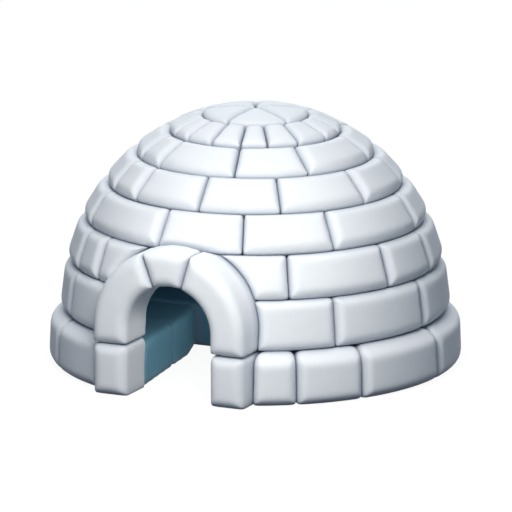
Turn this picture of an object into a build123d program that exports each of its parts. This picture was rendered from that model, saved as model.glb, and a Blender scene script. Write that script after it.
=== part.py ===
"""Snow-block igloo: a dome of seven courses closed by crown wedges, with an arched doorway and snow benches.

Millimetres and degrees. +Z is up, the ground is z = 0, the origin is the centre of the dome on the ground,
and the doorway faces -Y. A bearing is counted from the doorway (-Y), anticlockwise seen from above.
"""

import os
from math import atan2, cos, degrees, hypot, radians, sin
from typing import NamedTuple

from build123d import *

# Dome wall
base_radius = 1800  # outer radius of the base course at the ground
base_ledge = 76  # how far the base course stands out under the second course
wall_low = 277  # thickness of the dome wall at its foot, without the ledge
wall_high = 200  # thickness of the dome wall at the crown
crown_rise = 46  # rise of the crown from its rim to the top

# Courses from the ground up; a setback is how far a course's face leans in over its height
base_height = 460
base_setback = 21
second_height = 435
second_setback = 55
third_height = 381
third_setback = 128
fourth_height = 319
fourth_setback = 199
fifth_height = 271
fifth_setback = 253
sixth_height = 200
sixth_setback = 302
seventh_height = 124
seventh_setback = 298

# Snow blocks
joint_gap = 0.4  # open joint between neighbouring blocks
block_rounding = 62  # rounding of the outer edges of a dome block
shoulder_rounding = 110  # rounding of the base course's top edge
crown_rounding = 40  # rounding of the small blocks in the seventh course and the crown

# Doorway
arched_courses = 3  # courses that the arch breaks through; the next one runs on over it
door_half_width = 390
spring_height = 609  # height at which the half-round arch springs
surround_width = 316  # width of the blocks round the doorway
surround_front = base_radius  # distance of the doorway's front from the centre of the dome
surround_rounding = 58
jamb_height = 452
keystone_half_angle = 19
keystone_turn = -2  # turn of the keystone off the top of the arch, to the left where negative

# Snow benches round the standing trench
bench_height = 380
bench_rounding = 40
trench_bend = -244  # Y from where the trench widens faster
trench_bend_half_width = 526
trench_rear = 108  # where the trench ends, behind the centre of the dome
trench_rear_half_width = 632
side_bench_joint = -620  # Y of the joint between the two blocks of a side bench
rear_bench_joint = 330  # distance of the rear bench's joints from the middle


class Course(NamedTuple):
    """One ring of blocks. Its upright joints stand at the listed bearings, and equal blocks fill the rest."""

    name: str
    height: float
    setback: float
    rounding: float
    joints: tuple
    equal_blocks: int


COURSES = (
    Course("base_course", base_height, base_setback, block_rounding, (-48, 36.6, 56.4, 87.4), 5),
    Course("second_course", second_height, second_setback, block_rounding, (-46.7, 49.3, 84.5), 6),
    Course("third_course", third_height, third_setback, block_rounding, (-46.3, -32.8, 35.4, 70.5, 94), 5),
    Course("fourth_course", fourth_height, fourth_setback, block_rounding, (-49.7, -9.7, 20.6, 52.2, 93.9), 6),
    Course("fifth_course", fifth_height, fifth_setback, block_rounding, (-47.5, -29, 2.3, 34.9, 72.3, 105), 5),
    Course("sixth_course", sixth_height, sixth_setback, block_rounding, (-48.4, -29, 14.6, 51.5, 96.6), 6),
    Course(
        "seventh_course", seventh_height, seventh_setback, crown_rounding,
        (-44, -27.2, -5.9, 14.8, 33.3, 55.3, 79.7), 12,
    ),
)
CROWN_JOINTS = (-8, 62, 134, 205, 278)
QUADRANTS = ("front_right", "back_right", "back_left", "front_left")

dome_radius = base_radius - base_ledge
surround_half_width = door_half_width + surround_width
crown_foot = sum(course.height for course in COURSES)
crown_top = crown_foot + crown_rise
crown_bed = len(COURSES)
reach = 2 * base_radius  # longer than anything that it cuts


def dome_face():
    """(radius, height) corners of the dome's face, at the ground, at each bed joint and at the top."""
    corners = [(dome_radius, 0)]
    for course in COURSES:
        radius, height = corners[-1]
        corners.append((radius - course.setback, height + course.height))
    return corners + [(0, crown_top)]


FACE = dome_face()


def lean(course):
    """Angle from upright of a course's outer face; the crown counts as the course after the last."""
    (foot_radius, foot_height), (top_radius, top_height) = FACE[course], FACE[course + 1]
    return atan2(foot_radius - top_radius, top_height - foot_height)


def bed_tilt(bed):
    """How much a bed joint dips inwards: square to the dome's face, and level on the ground."""
    return (lean(bed - 1) + lean(bed)) / 2 if bed else 0.0


def wall_thickness(bed):
    share = max(bed - 1, 0) / (crown_bed - 1)
    return wall_low + (wall_high - wall_low) * share


def bed_point(bed, inwards, lift=0.0):
    """The (radius, height) point that lies inwards from the dome's face along a bed joint, lifted off it."""
    radius, height = FACE[bed]
    tilt = bed_tilt(bed)
    return (radius - inwards * cos(tilt) - lift * sin(tilt), height - inwards * sin(tilt) + lift * cos(tilt))


def ring_profile(points):
    return make_face(Polyline([(radius, 0, height) for radius, height in points], close=True))


def foot_lift(index):
    """Width of the open joint under a course; the base course stands on the ground."""
    return joint_gap if index else 0.0


def outer_line(index):
    """(radius, height) ends of a course's outer face in section, from its foot to its head."""
    ledge = base_ledge if index == 0 else 0.0
    return [bed_point(index, -ledge, foot_lift(index)), bed_point(index + 1, -ledge)]


def inner_line(index):
    """(radius, height) ends of a course's inner face in section, from its head to its foot."""
    foot = bed_point(index, wall_thickness(index), foot_lift(index))
    return [bed_point(index + 1, wall_thickness(index + 1)), foot]


def chamber(clearance=0.0):
    """The hollow inside the dome, drawn in by a clearance."""
    wall = [bed_point(bed, wall_thickness(bed) + clearance) for bed in range(crown_bed + 1)]
    roof = (0, wall[-1][1])
    return revolve(ring_profile([(0, 0)] + wall + [roof]), Axis.Z)


def surround_outline(half_width):
    """Front view of a half-round arch on straight legs, with its foot below the ground."""
    legs = Pos(0, spring_height / 2 - reach / 2) * Rectangle(2 * half_width, spring_height + reach)
    return legs + Pos(0, spring_height) * Circle(half_width)


def through_wall(outline):
    """The outline in the XZ plane carried from the doorway's front to the middle of the dome."""
    return extrude(Pos(0, -surround_front, 0) * (Plane.XZ * outline), amount=surround_front, dir=(0, 1, 0))


def entrance_space():
    """Everything in front that the dome blocks leave free for the doorway and its surround."""
    outline = surround_outline(surround_half_width + joint_gap)
    return extrude(Pos(0, -reach, 0) * (Plane.XZ * outline), amount=reach, dir=(0, 1, 0))


def over_arch():
    """The ring of the course that runs on over the arch, with room for its joint."""
    beds = (arched_courses, arched_courses + 1)
    outside = [bed_point(bed, -joint_gap) for bed in beds]
    inside = [bed_point(bed, wall_thickness(bed)) for bed in reversed(beds)]
    return revolve(ring_profile(outside + inside), Axis.Z)


def doorway_block(outline):
    """Block of the doorway, from its front to the dome's inner face, under the course that runs on over it."""
    return (through_wall(outline) - chamber() - over_arch()).solids()[0]


def soften(solid, rounding, edges):
    """Rounds edges, by a third of the shortest at most."""
    shortest = min(edge.length for edge in edges)
    return solid.fillet(min(rounding, shortest / 3), edges)


def outer_face(block, index):
    """The face of a course's block that lies on the outside of the course."""
    foot_radius, foot_height = outer_line(index)[0]

    def distance(face):
        middle = face.center()
        out = hypot(middle.X, middle.Y) - foot_radius
        return abs(out * cos(lean(index)) + (middle.Z - foot_height) * sin(lean(index)))

    return min(block.faces(), key=distance)


def round_block(block, index):
    """Rounds the edges all round the outer face of a course's block, the base course's shoulder the most."""
    edges = outer_face(block, index).edges()
    if index == 0:
        block = soften(block, shoulder_rounding, edges.sort_by(Axis.Z)[-1:])
        edges = outer_face(block, index).edges().sort_by(Axis.Z)[:-1]
    return soften(block, COURSES[index].rounding, edges)


def block_bearings(course):
    """(start, end) bearings of each block of a course."""
    joints = list(course.joints)
    last = joints[-1]
    step = (joints[0] + 360 - last) / course.equal_blocks
    joints += [last + step * i for i in range(1, course.equal_blocks + 1)]
    return list(zip(joints, joints[1:]))


def course_blocks(index):
    """The blocks of one course, cut back where the doorway breaks through it."""
    section = outer_line(index) + inner_line(index)
    profile = ring_profile(section)
    joint_angle = degrees(joint_gap / min(radius for radius, height in section))
    space = entrance_space()
    blocks = []
    for start, end in block_bearings(COURSES[index]):
        ring_part = revolve(profile, Axis.Z, end - start - joint_angle)
        whole = Rot(0, 0, start + joint_angle / 2 - 90) * ring_part
        if index < arched_courses:
            whole -= space
        blocks += [round_block(piece, index) for piece in whole.solids()]
    return blocks


def crown_wedges():
    """Wedges that close the top of the dome, under a shallow sphere."""
    rim_radius = FACE[crown_bed][0]
    sphere_radius = (rim_radius**2 + crown_rise**2) / (2 * crown_rise)
    sphere = Pos(0, 0, crown_top - sphere_radius) * Rot(0, 90, 0) * Sphere(sphere_radius)
    wedges = []
    for start, end in zip(CROWN_JOINTS, CROWN_JOINTS[1:] + (CROWN_JOINTS[0] + 360,)):
        arc = end - start
        apart = joint_gap / 2 / sin(radians(arc / 2))
        lift = joint_gap + apart
        seat = bed_point(crown_bed, wall_thickness(crown_bed), lift)
        over_rim = bed_point(crown_bed, -2 * crown_rise, lift)
        profile = ring_profile([(0, seat[1]), seat, over_rim, (0, over_rim[1])])
        wedge = Pos(apart, 0, 0) * Rot(0, 0, -arc / 2) * revolve(profile, Axis.Z, arc)
        wedge = (Rot(0, 0, (start + end) / 2 - 90) * wedge & sphere).solids()[0]
        top = wedge.faces().filter_by(GeomType.SPHERE)[0]
        wedges.append(soften(wedge, crown_rounding, top.edges()))
    return wedges


def front_face(piece):
    return piece.faces().sort_by(Axis.Y)[0]


def jamb(side):
    """Block at the foot of the doorway; side is -1 for the left and 1 for the right, seen from the front."""
    middle = side * (door_half_width + surround_half_width) / 2
    outline = Pos(middle, jamb_height / 2) * Rectangle(surround_width, jamb_height)
    block = doorway_block(outline)
    top = block.faces().sort_by(Axis.Z)[-1]
    edges = front_face(block).edges() + top.edges().filter_by(Axis.Y)
    return soften(block, surround_rounding, edges)


def keystone_wedge(half_angle):
    """Front view of the wedge that the keystone takes out of the arch."""
    width = reach * sin(radians(half_angle))
    height = reach * cos(radians(half_angle))
    wedge = make_face(Polyline([(0, 0), (width, height), (-width, height)], close=True))
    return Pos(0, spring_height) * Rot(0, 0, -keystone_turn) * wedge


def arch_ring():
    return surround_outline(surround_half_width) - surround_outline(door_half_width)


def haunch(side):
    """Curved block from the jamb up to the keystone."""
    bounds = Pos(side * reach / 2, jamb_height + joint_gap + reach / 2) * Rectangle(reach, reach)
    outline = (arch_ring() & bounds) - keystone_wedge(keystone_half_angle)
    block = doorway_block(outline)
    return soften(block, surround_rounding, front_face(block).edges())


def keystone():
    joint_angle = degrees(joint_gap / door_half_width)
    outline = arch_ring() & keystone_wedge(keystone_half_angle - joint_angle)
    block = doorway_block(outline)
    return soften(block, surround_rounding, front_face(block).edges())


def trench_mouth():
    """(half width, Y) of the trench where it starts, at the inner end of the doorway."""
    return (door_half_width, -bed_point(0, wall_thickness(0))[0])


def trench_half_width(y):
    """Half the width of the trench between the doorway and its bend."""
    mouth_half_width, mouth = trench_mouth()
    share = (y - mouth) / (trench_bend - mouth)
    return mouth_half_width + (trench_bend_half_width - mouth_half_width) * share


def bench_block(corners):
    """Bench block with its plan's first two corners on the trench, cut to the dome's inner face."""
    plan = make_face(Polyline(corners, close=True))
    block = (extrude(plan, amount=bench_height, dir=(0, 0, 1)) & chamber(joint_gap)).solids()[0]
    (x0, y0), (x1, y1) = corners[:2]
    trench_side = block.faces().sort_by_distance(((x0 + x1) / 2, (y0 + y1) / 2, bench_height / 2))[0]
    top = block.faces().sort_by(Axis.Z)[-1]
    edges = top.edges().filter_by(GeomType.LINE) + trench_side.edges().filter_by(Axis.Z)
    return soften(block, bench_rounding, edges)


def side_bench(side):
    """Two blocks along one side of the trench; side is -1 for the left and 1 for the right."""
    front = [(trench_half_width(y), y) for y in (-dome_radius, side_bench_joint)]
    start = side_bench_joint + joint_gap
    bend = (trench_bend_half_width, trench_bend)
    rear = [(trench_half_width(start), start), bend, (trench_rear_half_width, trench_rear)]
    blocks = []
    for line in (front, rear):
        wall = [(dome_radius, line[-1][1]), (dome_radius, line[0][1])]
        blocks.append(bench_block([(side * x, y) for x, y in line + wall]))
    return blocks


def rear_bench():
    """Three blocks behind the trench."""
    front = trench_rear + joint_gap
    cuts = (-dome_radius, -rear_bench_joint, rear_bench_joint, dome_radius)
    return [
        bench_block([(x0, front), (x1 - joint_gap, front), (x1 - joint_gap, dome_radius), (x0, dome_radius)])
        for x0, x1 in zip(cuts, cuts[1:])
    ]


def quadrant(block):
    """The quarter of the dome that a block's middle lies in."""
    middle = block.center()
    bearing = degrees(atan2(middle.X, -middle.Y)) % 360
    return QUADRANTS[int(bearing // 90)]


def model():
    """Every node of the igloo, as name: solids."""
    nodes = {}
    for index, course in enumerate(COURSES):
        for block in course_blocks(index):
            nodes.setdefault(f"{course.name}_{quadrant(block)}", []).append(block)
    nodes["crown_wedges"] = crown_wedges()
    nodes["jamb_left"] = [jamb(-1)]
    nodes["jamb_right"] = [jamb(1)]
    nodes["arch_haunch_left"] = [haunch(-1)]
    nodes["arch_haunch_right"] = [haunch(1)]
    nodes["arch_keystone"] = [keystone()]
    nodes["bench_left"] = side_bench(-1)
    nodes["bench_right"] = side_bench(1)
    nodes["bench_rear"] = rear_bench()
    return nodes


def main():
    os.makedirs("parts", exist_ok=True)
    for name, solids in model().items():
        shape = Compound(children=solids) if len(solids) > 1 else solids[0]
        export_step(shape, f"parts/{name}.step")


main()
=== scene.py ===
"""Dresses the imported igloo: every snow block gets a softly uneven mesh of its own and a snow material."""

import math

import bmesh
import bpy
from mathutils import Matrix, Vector, noise


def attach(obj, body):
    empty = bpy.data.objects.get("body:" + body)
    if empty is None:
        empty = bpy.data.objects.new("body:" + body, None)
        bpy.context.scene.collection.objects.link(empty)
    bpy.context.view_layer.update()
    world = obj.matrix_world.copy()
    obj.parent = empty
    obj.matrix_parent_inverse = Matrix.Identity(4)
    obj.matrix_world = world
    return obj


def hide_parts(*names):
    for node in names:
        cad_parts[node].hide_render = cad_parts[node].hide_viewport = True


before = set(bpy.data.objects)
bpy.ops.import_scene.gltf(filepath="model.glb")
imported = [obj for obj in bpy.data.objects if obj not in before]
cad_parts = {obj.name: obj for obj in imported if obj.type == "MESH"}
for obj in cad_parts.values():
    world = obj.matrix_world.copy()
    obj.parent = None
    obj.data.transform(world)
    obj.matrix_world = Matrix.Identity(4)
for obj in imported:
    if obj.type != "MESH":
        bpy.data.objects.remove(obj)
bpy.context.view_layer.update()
scene = bpy.context.scene

# Snow blocks, in metres
VOXEL = 0.017  # edge of a dressed block's faces
SMOOTHING = 0.5  # how far a round moves a point towards the middle of its neighbours
STEP_ROUNDS = 3  # rounds of smoothing that take the steps out of a remeshed block
BLOCK_WEAR = 6  # rounds that wear the corners of a block of the dome
WEAR_ROUNDS = {"arch": 5, "jamb": 5, "bench": 16}  # the same for the other kinds
PLANED = 0.85  # how nearly the round outer edges are planed down to flat bevels
BLOCK_ROUNDING = 0.062  # radius of a CAD block's outer edges
SHOULDER_ROUNDING = 0.110  # of a base block's upper edge
SHOULDER_TILT = 0.7  # how far up a normal points where that radius is reached
CROWN_ROUNDING = 0.040  # of the edges of the seventh course and the crown
SURROUND_ROUNDING = 0.058  # of the edges round the doorway
SWELL = 0.0035  # how far the knife-cut faces wander in and out
SWELL_SCALE = 2.2  # swells to the metre
SEED_STEP = 7.31  # moves each node's swells to another part of the noise
FOOT = 0.05  # height over which the swells fade in above the ground

# How far each course's outer face leans back, in degrees
LEAN = {
    "base": 3, "second": 7, "third": 19, "fourth": 32,
    "fifth": 43, "sixth": 57, "seventh": 67, "crown": 90,
}

# Snow, in display colours from 0 to 255
SNOW_LIGHT = (250, 252, 253)
SNOW_DARK = (238, 242, 245)
# Painted shade: the dome's inner face is coloured darker and bluer than the snow, for the shade inside the
# dome
INNER_PAINTED_SHADE = (96, 146, 170)
# Painted shade: the benches' snow is coloured dark and blue for the shade inside the dome, in two tones of
# drifts
BENCH_PAINTED_SHADE_LIGHT = (128, 178, 196)
BENCH_PAINTED_SHADE_DARK = (112, 164, 184)

# Snow's surface
DRIFTS = {"Scale": 1.7, "Detail": 3.0, "Roughness": 0.55}  # patches of tone
CRUST = {"Scale": 14.0, "Detail": 5.0, "Roughness": 0.6}
GRAIN = {"Scale": 95.0, "Detail": 4.0, "Roughness": 0.7}
GRAIN_SHARE = 0.25  # of the crust's height
BUMP = {"Strength": 0.25, "Distance": 0.01}
ROUGHNESS = 0.75
SPECULAR = 0.2
# Painted shade: ambient occlusion darkens the colour in the joints, at the foot and wherever surfaces come
# close
PAINTED_SHADE_REACH = 0.09  # how near a neighbouring surface has to be to paint shade on a place
PAINTED_SHADE_SAMPLES = 12
PAINTED_SHADE_COLOUR = (0.36, 0.40, 0.48, 1)

# A shell in the middle of the dome's thickness, which tells its inner faces, painted with shade, from its
# outer ones
MIDDLE_RADIUS = 1.6
MIDDLE_HEIGHT = 2.14
MIDDLE_FULLNESS = 2.3  # 2 is an ellipse, and more is fuller at the shoulder

# Floor
FLOOR_REACH = 60.0
FLOOR_COLOUR = (0.12, 0.12, 0.12, 1)  # what takes the shadow where the floor shows
FLOOR_BOUNCE = (0.10, 0.12, 0.15, 1)  # what the floor throws back on the object
FLOOR_GLOW = 0.93  # brings the floor up to white
WHITE = (1, 1, 1, 1)

# Light
MIDDLE = (0, 0, 0.9)  # of the dome
KEY_AZIMUTH = math.radians(21)
KEY_ELEVATION = math.radians(30)
KEY_DISTANCE = 6.0
KEY_POWER = 204.0
KEY_SIZE = 2.4
KEY_COLOUR = (1.0, 0.99, 0.97)
SUN_DISTANCE = 10.0
TOP_STRENGTH = 0.62
TOP_SPREAD = math.radians(60)
TOP_COLOUR = (0.97, 0.98, 1.0)
BACK_AZIMUTH = math.radians(205)
BACK_ELEVATION = math.radians(30)
BACK_STRENGTH = 1.5
BACK_SPREAD = math.radians(40)
BACK_COLOUR = (0.95, 0.98, 1.0)
INNER_POWER = 3.3  # daylight that the doorway and the walls let in
INNER_SIZE = 0.5
INNER_COLOUR = (0.85, 0.95, 1.0)
INNER_PLACE = (0.42, -0.75, 0.80)
INNER_TARGET = (-0.55, -0.1, 0.28)
SKY_COLOUR = (0.70, 0.82, 1.0, 1)
SKY_STRENGTH = 0.23

# Camera
AZIMUTH = math.radians(25)
ELEVATION = math.radians(13.2)
DISTANCE = 50.0
TARGET_HEIGHT = 0.897
TARGET_ASIDE = 0.004
FRAME_WIDTH = 4.452  # width of the picture at the target
SENSOR = 36.0
CLIP_END = 200.0


def clamped(value, low=0.0, high=1.0):
    return min(max(value, low), high)


def linear(colour):
    """A display colour, 0 to 255, as linear light."""

    def one(value):
        value /= 255
        return value / 12.92 if value <= 0.04045 else ((value + 0.055) / 1.055) ** 2.4

    return (*map(one, colour), 1.0)


def around(azimuth, elevation, distance, target):
    """The place that sees the target from an azimuth and an elevation."""
    level = math.cos(elevation) * distance
    return Vector(target) + Vector(
        (math.sin(azimuth) * level, -math.cos(azimuth) * level, math.sin(elevation) * distance)
    )


class Nodes:
    """A node tree that starts empty and is wired by the sockets' names."""

    def __init__(self, tree):
        self.tree = tree
        tree.nodes.clear()

    def feed(self, socket, value):
        """Links an output to a socket, or sets the socket to a plain value."""
        if isinstance(value, bpy.types.NodeSocket):
            self.tree.links.new(value, socket)
        else:
            socket.default_value = value

    def add(self, kind, **inputs):
        node = self.tree.nodes.new(kind)
        for name, value in inputs.items():
            self.feed(node.inputs[name.replace("_", " ")], value)
        return node

    def feed_all(self, node, values):
        """Feeds sockets by number, where a node has several of one name."""
        for number, value in values.items():
            self.feed(node.inputs[number], value)

    def calc(self, operation, first, second=0.0):
        node = self.tree.nodes.new("ShaderNodeMath")
        node.operation = operation
        self.feed_all(node, {0: first, 1: second})
        return node.outputs[0]

    def mix(self, share, first, second):
        node = self.tree.nodes.new("ShaderNodeMix")
        node.data_type = "RGBA"
        self.feed_all(node, {0: share, 6: first, 7: second})
        return node.outputs[2]

    def background_rays(self):
        """1 for rays that show the background, also in metal and glass, and 0 for rays that light."""
        path = self.add("ShaderNodeLightPath").outputs
        shown = self.calc("MAXIMUM", path["Is Camera Ray"], path["Is Glossy Ray"])
        return self.calc("MAXIMUM", shown, path["Is Transmission Ray"])


def outer_share(n, place):
    """1 outside the shell in the middle of the dome's thickness, and 0 inside it, where the inner face gets
    painted shade.
    """
    axis = n.add("ShaderNodeSeparateXYZ", Vector=place).outputs
    squares = n.calc("ADD", n.calc("POWER", axis["X"], 2.0), n.calc("POWER", axis["Y"], 2.0))
    height = n.calc("MAXIMUM", axis["Z"], 0.0)
    across = n.calc("POWER", n.calc("DIVIDE", n.calc("SQRT", squares), MIDDLE_RADIUS), MIDDLE_FULLNESS)
    up = n.calc("POWER", n.calc("DIVIDE", height, MIDDLE_HEIGHT), MIDDLE_FULLNESS)
    return n.calc("GREATER_THAN", n.calc("ADD", across, up), 1.0)


def snow_material(name, light, dark, inside=None):
    """Wind-packed snow: drifts of tone, painted shade in the joints and wherever surfaces come close, and
    grain in the bump. inside is painted shade, darker and bluer than the snow, for the dome's inner face.
    """
    material = bpy.data.materials.new(name)
    material.use_nodes = True
    n = Nodes(material.node_tree)
    place = n.add("ShaderNodeTexCoord").outputs["Object"]
    drifts = n.add("ShaderNodeTexNoise", Vector=place, **DRIFTS).outputs["Fac"]
    colour = n.mix(drifts, linear(dark), linear(light))
    if inside:
        # paints shade on the inner face, inside the middle shell
        colour = n.mix(outer_share(n, place), linear(inside), colour)
    # painted shade: the colour darkens towards the crevice colour where other surfaces are near
    painted_shade = n.add("ShaderNodeAmbientOcclusion", Distance=PAINTED_SHADE_REACH)
    painted_shade.samples = PAINTED_SHADE_SAMPLES
    colour = n.mix(painted_shade.outputs["AO"], PAINTED_SHADE_COLOUR, colour)
    grain = n.add("ShaderNodeTexNoise", Vector=place, **GRAIN).outputs["Fac"]
    crust = n.add("ShaderNodeTexNoise", Vector=place, **CRUST).outputs["Fac"]
    height = n.calc("ADD", n.calc("MULTIPLY", grain, GRAIN_SHARE), crust)
    bump = n.add("ShaderNodeBump", Height=height, **BUMP)
    shader = n.add(
        "ShaderNodeBsdfPrincipled",
        Base_Color=colour,
        Roughness=ROUGHNESS,
        Specular_IOR_Level=SPECULAR,
        Normal=bump.outputs[0],
    )
    n.add("ShaderNodeOutputMaterial", Surface=shader.outputs[0])
    return material


def shell_from(start, seen):
    """The vertices that edges join to a first one. They are added to seen."""
    seen.add(start)
    stack = [start]
    shell = []
    while stack:
        vert = stack.pop()
        shell.append(vert)
        for edge in vert.link_edges:
            other = edge.other_vert(vert)
            if other not in seen:
                seen.add(other)
                stack.append(other)
    return shell


def loose_parts(mesh):
    """The separate closed shells of a mesh, each as a new bmesh."""
    whole = bmesh.new()
    whole.from_mesh(mesh)
    bmesh.ops.remove_doubles(whole, verts=whole.verts, dist=1e-5)
    seen = set()
    parts = []
    for start in whole.verts:
        if start in seen:
            continue
        shell = shell_from(start, seen)
        part = bmesh.new()
        twins = {vert: part.verts.new(vert.co) for vert in shell}
        for face in dict.fromkeys(face for vert in shell for face in vert.link_faces):
            part.faces.new([twins[vert] for vert in face.verts])
        parts.append(part)
    whole.free()
    return parts


def remeshed(part, name):
    """The part as an even net of small square faces."""
    mesh = bpy.data.meshes.new(name)
    part.to_mesh(mesh)
    part.free()
    piece = bpy.data.objects.new(name, mesh)
    scene.collection.objects.link(piece)
    remesh = piece.modifiers.new("even", "REMESH")
    remesh.mode = "VOXEL"
    remesh.voxel_size = VOXEL
    smooth = piece.modifiers.new("smooth", "SMOOTH")
    smooth.factor = SMOOTHING
    smooth.iterations = STEP_ROUNDS
    graph = bpy.context.evaluated_depsgraph_get()
    result = bpy.data.meshes.new_from_object(piece.evaluated_get(graph))
    bpy.data.objects.remove(piece)
    bpy.data.meshes.remove(mesh)
    return result


def outward(kind, place):
    """The direction that the outer face of a block of this kind has near a place."""
    if kind in ("arch", "jamb"):
        return Vector((0, -1, 0))
    lean = math.radians(LEAN[kind])
    level = Vector((place.x, place.y, 0)).normalized()
    return level * math.cos(lean) + Vector((0, 0, math.sin(lean)))


def edge_rounding(kind, normal):
    """The radius of a block's outer edge where its normal is this one."""
    if kind == "base":
        return BLOCK_ROUNDING + (SHOULDER_ROUNDING - BLOCK_ROUNDING) * clamped(normal.z / SHOULDER_TILT)
    if kind in ("arch", "jamb"):
        return SURROUND_ROUNDING
    return CROWN_ROUNDING if kind in ("seventh", "crown") else BLOCK_ROUNDING


def plane_edges(blocks, kind):
    """Planes the round edges of the outer faces down to bevels, halfway between the face and the joint."""
    halfway = math.pi / 4
    for vert in blocks.verts:
        turn = math.acos(clamped(vert.normal.dot(outward(kind, vert.co)), low=-1.0))
        if turn < 2 * halfway:
            depth = 1 - math.cos(halfway) / math.cos(turn - halfway)
            vert.co -= vert.normal * (depth * PLANED * edge_rounding(kind, vert.normal))


def wear(blocks, rounds):
    for _ in range(rounds):
        bmesh.ops.smooth_vert(
            blocks, verts=blocks.verts, factor=SMOOTHING, use_axis_x=True, use_axis_y=True, use_axis_z=True
        )


def swell(blocks, seed):
    """Lets the faces wander in and out a little, but not where they stand on the ground."""
    offset = Vector((seed * SEED_STEP, 0, 0))
    for vert in blocks.verts:
        rise = noise.noise(vert.co * SWELL_SCALE + offset) * SWELL
        vert.co += vert.normal * rise * clamped(vert.co.z / FOOT)


def dressed(node, kind, seed):
    """A piece that stands for a CAD node: its blocks remeshed, bevelled, worn and gently uneven."""
    blocks = bmesh.new()
    for i, part in enumerate(loose_parts(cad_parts[node].data)):
        mesh = remeshed(part, f"{node}_{i}")
        blocks.from_mesh(mesh)
        bpy.data.meshes.remove(mesh)
    blocks.normal_update()
    if kind != "bench":
        plane_edges(blocks, kind)
    wear(blocks, WEAR_ROUNDS.get(kind, BLOCK_WEAR))
    blocks.normal_update()
    swell(blocks, seed)
    mesh = bpy.data.meshes.new(f"{node}_snow")
    blocks.to_mesh(mesh)
    blocks.free()
    mesh.shade_smooth()
    piece = bpy.data.objects.new(f"{node}_snow", mesh)
    scene.collection.objects.link(piece)
    return piece


def dress_all():
    # the walls' material paints shade on the dome's inner face
    snow_and_inner_shade = snow_material("wall_snow_inner_painted_shade", SNOW_LIGHT, SNOW_DARK, INNER_PAINTED_SHADE)
    surround = snow_material("surround_snow", SNOW_LIGHT, SNOW_DARK)
    # the benches are coloured with painted shade
    bench = snow_material("bench_snow", BENCH_PAINTED_SHADE_LIGHT, BENCH_PAINTED_SHADE_DARK)
    materials = {"arch": surround, "jamb": surround, "bench": bench}
    for seed, node in enumerate(sorted(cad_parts)):
        kind = node.split("_")[0]
        piece = dressed(node, kind, seed)
        piece.data.materials.append(materials.get(kind, snow_and_inner_shade))
        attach(piece, "root")
        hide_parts(node)


def floor_material():
    material = bpy.data.materials.new("floor")
    material.use_nodes = True
    n = Nodes(material.node_tree)
    shown = n.background_rays()
    diffuse = n.add("ShaderNodeBsdfDiffuse", Color=n.mix(shown, FLOOR_BOUNCE, FLOOR_COLOUR))
    glow = n.add("ShaderNodeEmission", Color=WHITE, Strength=n.calc("MULTIPLY", shown, FLOOR_GLOW))
    both = n.add("ShaderNodeAddShader")
    n.feed_all(both, {0: diffuse.outputs[0], 1: glow.outputs[0]})
    n.add("ShaderNodeOutputMaterial", Surface=both.outputs[0])
    return material


def make_floor():
    """A pale floor that shows white, takes the shadow, and throws little light back on the blocks."""
    far = FLOOR_REACH
    mesh = bpy.data.meshes.new("floor")
    mesh.from_pydata([(-far, -far, 0), (far, -far, 0), (far, far, 0), (-far, far, 0)], [], [(0, 1, 2, 3)])
    mesh.materials.append(floor_material())
    floor = bpy.data.objects.new("floor", mesh)
    scene.collection.objects.link(floor)


def make_world():
    """A pale sky that lights the object, and plain white where the background shows."""
    world = bpy.data.worlds.new("studio")
    world.use_nodes = True
    scene.world = world
    n = Nodes(world.node_tree)
    sky = n.add("ShaderNodeBackground", Color=SKY_COLOUR, Strength=SKY_STRENGTH)
    white = n.add("ShaderNodeBackground", Color=WHITE, Strength=1.0)
    both = n.add("ShaderNodeMixShader")
    n.feed_all(both, {0: n.background_rays(), 1: sky.outputs[0], 2: white.outputs[0]})
    n.add("ShaderNodeOutputWorld", Surface=both.outputs[0])


def hang(lamp, place, target):
    """Puts a lamp at a place and turns it to a target."""
    holder = bpy.data.objects.new(lamp.name, lamp)
    holder.location = place
    holder.rotation_euler = (Vector(target) - Vector(place)).to_track_quat("-Z", "Y").to_euler()
    scene.collection.objects.link(holder)


def panel(name, power, size, colour, place, target):
    """A round soft lamp."""
    lamp = bpy.data.lights.new(name, "AREA")
    lamp.shape = "DISK"
    lamp.energy = power
    lamp.size = size
    lamp.color = colour
    hang(lamp, place, target)


def sun(name, azimuth, elevation, strength, spread, colour):
    """A lamp so far off that its light comes from one side all over."""
    lamp = bpy.data.lights.new(name, "SUN")
    lamp.energy = strength
    lamp.angle = spread
    lamp.color = colour
    hang(lamp, around(azimuth, elevation, SUN_DISTANCE, MIDDLE), MIDDLE)


def make_lights():
    key_place = around(KEY_AZIMUTH, KEY_ELEVATION, KEY_DISTANCE, MIDDLE)
    panel("key", KEY_POWER, KEY_SIZE, KEY_COLOUR, key_place, MIDDLE)
    panel("inner", INNER_POWER, INNER_SIZE, INNER_COLOUR, INNER_PLACE, INNER_TARGET)
    sun("top", 0.0, math.pi / 2, TOP_STRENGTH, TOP_SPREAD, TOP_COLOUR)
    sun("back", BACK_AZIMUTH, BACK_ELEVATION, BACK_STRENGTH, BACK_SPREAD, BACK_COLOUR)


def make_camera():
    data = bpy.data.cameras.new("camera")
    camera = bpy.data.objects.new("camera", data)
    scene.collection.objects.link(camera)
    aside = Vector((math.cos(AZIMUTH), math.sin(AZIMUTH), 0)) * TARGET_ASIDE
    target = Vector((0, 0, TARGET_HEIGHT)) + aside
    camera.location = around(AZIMUTH, ELEVATION, DISTANCE, target)
    camera.rotation_euler = (target - camera.location).to_track_quat("-Z", "Y").to_euler()
    data.sensor_width = SENSOR
    data.lens = SENSOR * DISTANCE / FRAME_WIDTH
    data.clip_end = CLIP_END
    scene.camera = camera


dress_all()
make_floor()
make_world()
make_lights()
make_camera()
scene.view_settings.view_transform = "Standard"
